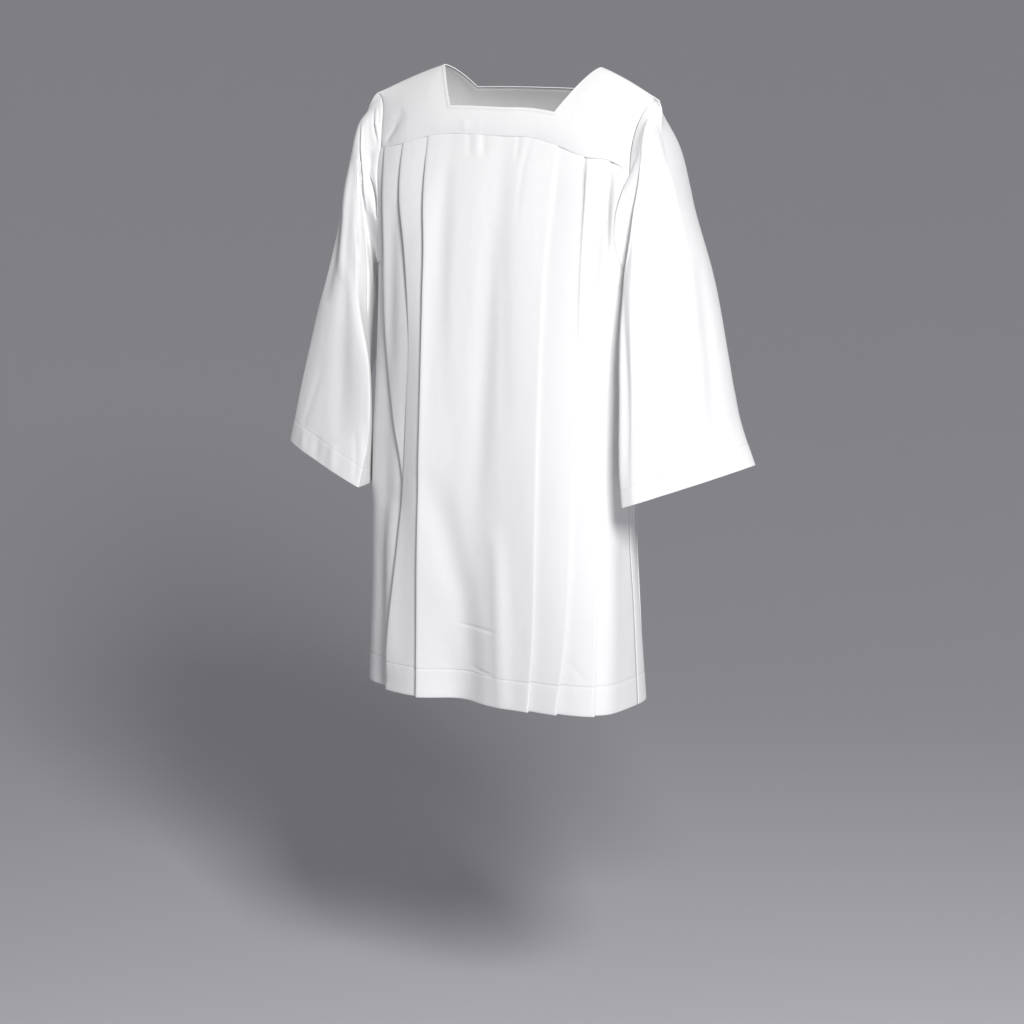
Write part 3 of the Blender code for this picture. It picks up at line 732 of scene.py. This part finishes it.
def facing(rows, closed):
    """Normals of a grid of points."""
    if closed:
        across = np.roll(rows, -1, axis=1) - np.roll(rows, 1, axis=1)
    else:
        across = np.gradient(rows, axis=1)
    n = np.cross(across, np.gradient(rows, axis=0))
    return n / np.maximum(np.linalg.norm(n, axis=-1, keepdims=True), 1e-12)


SIDE_COUNT, NECK_COUNT, BAND_COUNT = 30, 34, 46
EDGE_STITCH = 0.0048   # from the neck edge to its row of stitches
NECK_PROUD = 0.0006    # how far the double neck edge stands out
SEAM_TURN = 0.0014     # how far an edge turns in to the armhole seam
RIDGE_TURN = 0.0010    # and to the shoulder seam
# folds of the yokes, each through points (x, z)
YOKE_FOLDS = {
    "front": [
        # width depth   points
        (0.0040, -0.0016, (-0.188, -0.088), (-0.199, -0.103), (-0.212, -0.120)),
        (0.0110, -0.0022, (-0.178, -0.068), (-0.192, -0.090), (-0.212, -0.118)),
        (0.0080, -0.0026, (0.196, -0.050), (0.201, -0.072), (0.211, -0.100)),
        (0.0050, 0.0008, (-0.060, -0.078), (-0.056, -0.098)),
    ],
    "back": [
        # width depth   points
        (0.0090, -0.0018, (0.182, -0.060), (0.196, -0.085), (0.214, -0.120)),
        (0.0100, -0.0020, (-0.190, -0.060), (-0.200, -0.085), (-0.216, -0.118)),
        (0.0080, -0.0012, (0.030, -0.060), (0.034, -0.110)),
    ],
}
yoke_cloth = plain_weave("yoke_cloth", white, EDGE_STITCH)
downs = np.concatenate([np.linspace(0, 0.09, 10), np.linspace(0.11, 0.97, 44), [0.98, 0.99, 1.0]])
for face in ("front", "back"):
    rows = yoke(face, SIDE_COUNT, NECK_COUNT, BAND_COUNT, downs)
    out = facing(rows, False)
    if out[..., 2].mean() < 0:
        out = -out
    # the rims take their normals from just inside them
    out[:, :3], out[:, -3:] = out[:, 3:4], out[:, -4:-3]
    out[:2] = out[2:3]
    step = np.linalg.norm(np.diff(rows, axis=0), axis=-1)
    down = np.vstack([np.zeros(rows.shape[1]), np.cumsum(step, axis=0)])
    lift = folds(YOKE_FOLDS[face], rows[..., 0], rows[..., 2])
    # the neck edge is turned in double and stands a little proud
    neck_edge = rows[0, SIDE_COUNT:-SIDE_COUNT]
    from_edge = np.min(np.linalg.norm(rows[:, :, None] - neck_edge, axis=-1), axis=-1)
    lift = lift + NECK_PROUD * np.clip(1.25 - from_edge / 0.006, 0, 1)
    # the armhole edges and the shoulder line turn in towards their seams
    side = np.abs(rows[..., 0] - rows[:, :1, 0])
    side = np.minimum(side, np.abs(rows[..., 0] - rows[:, -1:, 0]))
    lift = lift - SEAM_TURN * np.clip(1 - side / 0.005, 0, 1) ** 2 * np.clip(down / 0.030, 0, 1)
    shoulder_line = np.clip((np.abs(rows[..., 0]) - NECK_TOP) / 0.004, 0, 1)
    shoulder_line = shoulder_line * np.clip((TIP - np.abs(rows[..., 0])) / 0.020, 0, 1)
    lift = lift - RIDGE_TURN * shoulder_line * np.clip(1 - down / 0.004, 0, 1) ** 2
    rows = rows + out * lift[..., None]
    # the lower edge is sewn in: it rolls under
    rows = np.concatenate([rows[:1] - out[:1] * 0.0012, rows,
                           rows[-1:] - out[-1:] * 0.0012 - [0, 0, 0.0003],
                           rows[-1:] - out[-1:] * 0.0028 + [0, 0, 0.0006]])
    down = np.vstack([down[:1] - 0.001, down, down[-1:] + 0.001, down[-1:] + 0.003])
    from_edge = np.vstack([from_edge[:1], from_edge, from_edge[-2:]])
    measure = np.stack([rows[..., 0], from_edge], -1)
    piece = sheet("yoke_cloth_" + face, rows, measure, False, yoke_cloth)
    outward(piece, (0, 0, -0.3))
    walled(piece, YOKE_CLOTH)
    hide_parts("yoke_" + face)
    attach(piece, "root")

# ---- Sleeves --------------------------------------------------------------------------
# Two bell sleeves of the same cloth, each one tube set into its armhole, its hem turned
# up 40 mm and stitched. The arm fills neither, so they hang in long soft folds.

CUFF_HEM = 0.040
# each ring's point over the arm, in front, under the arm and behind, by share of the
# length; and the power that shapes the ring, with its own for the upper quarter in front
SLEEVE = {
    -1: np.array([
        # t    over_x  over_y  over_z  fore_x  fore_y  fore_z
        #      under_x under_y under_z back_x  back_y back_z pinch front
        [0.10, -0.266, -0.034, -0.090, -0.253, -0.066, -0.165,
         -0.250, -0.010, -0.335, -0.252, 0.080, -0.195, 0.90, 1.60],
        [0.22, -0.287, -0.052, -0.176, -0.250, -0.075, -0.243,
         -0.260, -0.012, -0.380, -0.275, 0.078, -0.275, 0.95, 1.45],
        [0.38, -0.304, -0.062, -0.270, -0.249, -0.082, -0.341,
         -0.268, -0.016, -0.440, -0.300, 0.068, -0.360, 1.20, 1.45],
        [0.62, -0.330, -0.080, -0.399, -0.213, -0.108, -0.463,
         -0.276, -0.022, -0.530, -0.335, 0.052, -0.465, 1.80, 1.50],
        [0.86, -0.353, -0.096, -0.523, -0.212, -0.118, -0.588,
         -0.271, -0.026, -0.607, -0.365, 0.042, -0.565, 1.90, 1.50],
        [1.00, -0.366, -0.100, -0.588, -0.221, -0.130, -0.646,
         -0.263, -0.030, -0.642, -0.378, 0.038, -0.618, 1.90, 1.50],
    ]),
    1: np.array([
        # t    over_x  over_y  over_z  fore_x  fore_y  fore_z
        #      under_x under_y under_z back_x  back_y back_z pinch front
        [0.10, 0.248, -0.024, -0.091, 0.231, -0.062, -0.162,
         0.231, -0.010, -0.342, 0.232, 0.080, -0.195, 1.0, 0.85],
        [0.22, 0.267, -0.014, -0.182, 0.223, -0.074, -0.238,
         0.240, -0.012, -0.385, 0.256, 0.080, -0.272, 1.05, 0.80],
        [0.38, 0.293, -0.014, -0.285, 0.224, -0.098, -0.343,
         0.247, -0.016, -0.445, 0.284, 0.076, -0.345, 1.1, 0.72],
        [0.62, 0.312, -0.032, -0.420, 0.234, -0.120, -0.480,
         0.252, -0.024, -0.535, 0.318, 0.066, -0.452, 1.15, 0.70],
        [0.86, 0.322, -0.046, -0.545, 0.240, -0.130, -0.588,
         0.255, -0.028, -0.600, 0.344, 0.056, -0.532, 1.2, 0.70],
        [1.00, 0.326, -0.050, -0.607, 0.244, -0.129, -0.637,
         0.260, -0.030, -0.630, 0.372, 0.048, -0.588, 1.2, 0.70],
    ]),
}
AROUND = 280           # columns of a ring
SLEEVE_LENGTH = 0.56
SLEEVE_ROUND = 0.50    # the measure round that the folds are laid out on
CAP_AT = 0.032         # share of the length where the cap turns down
CAP_WAY = 0.32         # and how far it is there towards the first ring
CAP_RISE = {-1: 0.0018, 1: 0.0030}
TIP_COLUMNS = 12       # columns each side of the tip where the edge hardly turns in
HEM_PROUD = 0.0003
# folds of the sleeves, each through points (round from the over-arm by the front, down)
SLEEVE_FOLDS = {
    -1: [
        # width depth   points
        (0.0026, -0.0035, (0.0200, 0.0540), (0.0304, 0.0528), (0.0607, 0.0528), (0.0964, 0.0467),
         (0.1304, 0.0497), (0.1500, 0.0520)),
        (0.0046, 0.0058, (0.0180, 0.0490), (0.0304, 0.0478), (0.0607, 0.0478), (0.0964, 0.0417),
         (0.1304, 0.0447), (0.1500, 0.0470)),
        (0.0100, -0.0040, (0.0650, 0.0560), (0.0821, 0.0640), (0.0875, 0.0985), (0.0880, 0.1411),
         (0.1054, 0.1790)),
        (0.0055, 0.0014, (0.0150, 0.0400), (0.0446, 0.0375), (0.0760, 0.0350)),
        (0.0026, -0.0030, (0.0180, 0.0190), (0.0393, 0.0180), (0.0679, 0.0080)),
        (0.0030, 0.0036, (0.0180, 0.0150), (0.0393, 0.0138), (0.0640, 0.0050)),
        (0.0100, -0.0105, (0.0700, 0.0270), (0.0950, 0.0290), (0.1018, 0.0280), (0.1232, 0.0215),
         (0.1540, 0.0150)),
        (0.0034, -0.0100, (0.0900, 0.0370), (0.1018, 0.0335), (0.1232, 0.0255), (0.1446, 0.0180),
         (0.1640, 0.0080)),
        (0.0060, -0.0026, (0.1893, 0.0120), (0.2250, 0.0660), (0.2440, 0.1076)),
        (0.0070, -0.0030, (0.1400, 0.0800), (0.1518, 0.1107), (0.1732, 0.1594), (0.1780, 0.2100)),
        (0.0050, 0.0020, (0.1650, 0.0500), (0.1850, 0.0850), (0.2000, 0.1250)),
        (0.0060, -0.0008, (0.0400, 0.4000), (0.0357, 0.4289), (0.0250, 0.5118), (0.0411, 0.5476)),
        (0.0060, -0.0016, (0.1375, 0.4333), (0.1430, 0.4723), (0.1550, 0.5218), (0.1600, 0.5600)),
        (0.0040, -0.0009, (0.1200, 0.4600), (0.1320, 0.5100), (0.1420, 0.5580)),
        (0.0150, -0.0042, (0.0160, 0.1600), (0.0120, 0.1930), (0.0140, 0.2486), (0.0140, 0.3174)),
        (0.0180, -0.0034, (0.0600, 0.2300), (0.0643, 0.2779), (0.0679, 0.3461), (0.0982, 0.5020)),
        (0.0130, 0.0034, (0.0240, 0.1000), (0.0250, 0.1289), (0.0339, 0.1777), (0.0450, 0.2600)),
        (0.0080, 0.0016, (0.0300, 0.5150), (0.0340, 0.5640)),
        (0.0080, -0.0016, (0.0580, 0.5150), (0.0640, 0.5640)),
        (0.0090, 0.0018, (0.0900, 0.5100), (0.0980, 0.5640)),
        (0.0140, -0.0050, (0.4000, 0.0900), (0.3950, 0.2500), (0.4020, 0.4000)),
        (0.0120, 0.0040, (0.3600, 0.2000), (0.3550, 0.4000), (0.3460, 0.5640)),
        (0.0160, -0.0050, (0.3200, 0.1100), (0.3000, 0.3000), (0.2900, 0.5000)),
        (0.0060, -0.0036, (0.4380, 0.0200), (0.4280, 0.0600), (0.4300, 0.1000)),
    ],
    1: [
        # width depth   points
        (0.0044, -0.0090, (0.0161, 0.0406), (0.0321, 0.0649), (0.0536, 0.0863), (0.0679, 0.1015),
         (0.0804, 0.1198), (0.0964, 0.1472), (0.1250, 0.1655)),
        (0.0050, 0.0030, (0.0161, 0.0506), (0.0321, 0.0749), (0.0536, 0.0970), (0.0679, 0.1130),
         (0.0804, 0.1318), (0.0964, 0.1592), (0.1250, 0.1790)),
        (0.0120, -0.0030, (0.0446, 0.1100), (0.0643, 0.2048), (0.0821, 0.2876), (0.0982, 0.4971)),
        (0.0160, -0.0030, (0.0200, 0.1700), (0.0214, 0.2633), (0.0179, 0.3802), (0.0107, 0.5200)),
        (0.0140, -0.0030, (0.4850, 0.2000), (0.4750, 0.2974), (0.4571, 0.5300)),
        (0.0120, -0.0040, (0.1230, 0.1800), (0.1180, 0.2876), (0.1180, 0.3948), (0.1230, 0.5300)),
        (0.0080, 0.0014, (0.0400, 0.5150), (0.0420, 0.5640)),
        (0.0080, -0.0014, (0.0650, 0.5150), (0.0700, 0.5640)),
        (0.0080, 0.0014, (0.4800, 0.5150), (0.4780, 0.5640)),
        (0.0140, -0.0050, (0.4100, 0.0900), (0.4000, 0.2500), (0.3950, 0.4200)),
        (0.0120, 0.0040, (0.3700, 0.2000), (0.3600, 0.4000), (0.3560, 0.5640)),
        (0.0160, -0.0050, (0.3300, 0.1100), (0.3100, 0.3000), (0.3000, 0.5000)),
        (0.0060, -0.0036, (0.4420, 0.0200), (0.4320, 0.0600), (0.4300, 0.1000)),
    ],
}


def resample(points, count):
    """A run of points respaced evenly along its length."""
    points = np.asarray(points)
    run = np.concatenate([[0], np.cumsum(np.linalg.norm(np.diff(points, axis=0), axis=1))])
    want = np.linspace(0, run[-1], count)
    return np.stack([np.interp(want, run, points[:, k]) for k in range(3)], -1)


def armhole(hand):
    """The armhole's loop: over the shoulder tip, down the front, up the back."""
    run = {}
    for face in ("front", "back"):
        edge = list(yoke(face, 4, 3, 4, np.linspace(0, 1, 24))[:, 0 if hand < 0 else -1])
        for share in np.linspace(0, UNDERARM, 24):
            s, off = half_row(face, hand, share)[-1]
            level = fall(face, share, hand * s)
            off += soft(SOFT[face], hand * s, level)
            at, out = plan(hand * s, level, face)
            edge.append(np.append(at + out * off, level))
        run[face] = resample(edge, AROUND + 1)
    return np.vstack([run["front"], run["back"][-2:0:-1]])


def sleeve(hand):
    """Rings of a sleeve's middle surface, armhole to cuff."""
    angle = np.linspace(0, 2 * np.pi, 2 * AROUND, endpoint=False)
    c, s = np.cos(angle)[:, None], np.sin(angle)[:, None]
    keys, rings = [0.0], [armhole(hand)]
    for row in SLEEVE[hand]:
        over, fore, under, back = row[1:4], row[4:7], row[7:10], row[10:13]
        pinch, front = row[13:]
        mid = (over + under) / 2
        full = np.clip(s, 0, 1) * np.clip(c * 3, 0, 1)
        tuck = np.clip(s, 0, 1) * np.clip(c * -3, 0, 1)
        up = np.where(c > 0, over - mid, mid - under) * np.sign(c) * np.abs(c) ** (
            pinch + (front - pinch) * full)
        out = np.where(s > 0, fore - mid, mid - back) * np.sign(s) * np.abs(s) ** (
            1 + (front - 1) * full + (pinch - 1) * 0.7 * tuck)
        keys.append(row[0])
        rings.append(mid + up + out)
    # the cap leaves the shoulder squarely before it turns down
    cap = rings[0] + (rings[1] - rings[0]) * CAP_WAY
    cap = cap + (np.clip(c, 0, 1) ** 2) * np.array([hand, 0, 1]) * CAP_RISE[hand]
    keys.insert(1, CAP_AT)
    rings.insert(1, cap)
    table = np.column_stack([keys, np.array(rings).reshape(len(rings), -1)])
    hem = 1 - CUFF_HEM / SLEEVE_LENGTH
    ts = list(np.linspace(0, 0.012, 5)) + list(np.linspace(0.018, 0.35, 62))
    ts += list(np.linspace(0.357, hem - 0.006, 66))
    ts += [hem - 0.002, hem, hem + 0.002] + list(np.linspace(hem + 0.008, 0.9985, 7)) + [1.0]
    ts = np.array(ts)
    rows = along(table, ts).reshape(len(ts), 2 * AROUND, 3)
    half = AROUND // 2 + 1
    rows = np.array([np.vstack([resample(row[:AROUND + 1], half)[:-1],
                                resample(np.vstack([row[AROUND:], row[:1]]), half)[:-1]])
                     for row in rows])
    out = facing(rows, True)
    if ((rows - rows.mean(axis=1, keepdims=True)) * out).sum() < 0:
        out = -out
    lift = folds(SLEEVE_FOLDS[hand], np.arange(AROUND)[None] / AROUND * SLEEVE_ROUND,
                 ts[:, None] * SLEEVE_LENGTH, SLEEVE_ROUND)
    # the cap's edge turns in to its seam, but not at the shoulder tip, and the doubled hem
    # stands a little proud
    column = np.arange(AROUND)
    from_tip = np.minimum(column, AROUND - column) / TIP_COLUMNS
    turned = SEAM_TURN * (1 - np.exp(-from_tip ** 2))
    lift = lift - turned * np.clip(1 - ts[:, None] / 0.010, 0, 1) ** 2
    lift = lift + HEM_PROUD * np.clip((ts[:, None] - hem) / 0.003, 0, 1)
    return rows + out * lift[..., None], ts


sleeve_cloth = plain_weave("sleeve_cloth", white, CUFF_HEM)
for hand, name in ((-1, "right"), (1, "left")):
    rings, ts = sleeve(hand)
    rings = np.concatenate([rings, rings[:, :1]], axis=1)
    around = np.concatenate([np.zeros((len(rings), 1)),
                             np.cumsum(np.linalg.norm(np.diff(rings, axis=1), axis=-1), axis=1)], 1)
    up = np.broadcast_to(((1 - ts) * SLEEVE_LENGTH)[:, None], around.shape)
    measure = np.stack([around, up], -1)
    piece = sheet("bell_sleeve_" + name, rings, measure, True, sleeve_cloth)
    outward(piece, (hand * 0.29, -0.02, -0.40))
    walled(piece, CLOTH)
    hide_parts("sleeve_" + name)
    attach(piece, "root")
    # its length over the arm
    length = np.linalg.norm(np.diff(rings[:, 0], axis=0), axis=-1).sum()
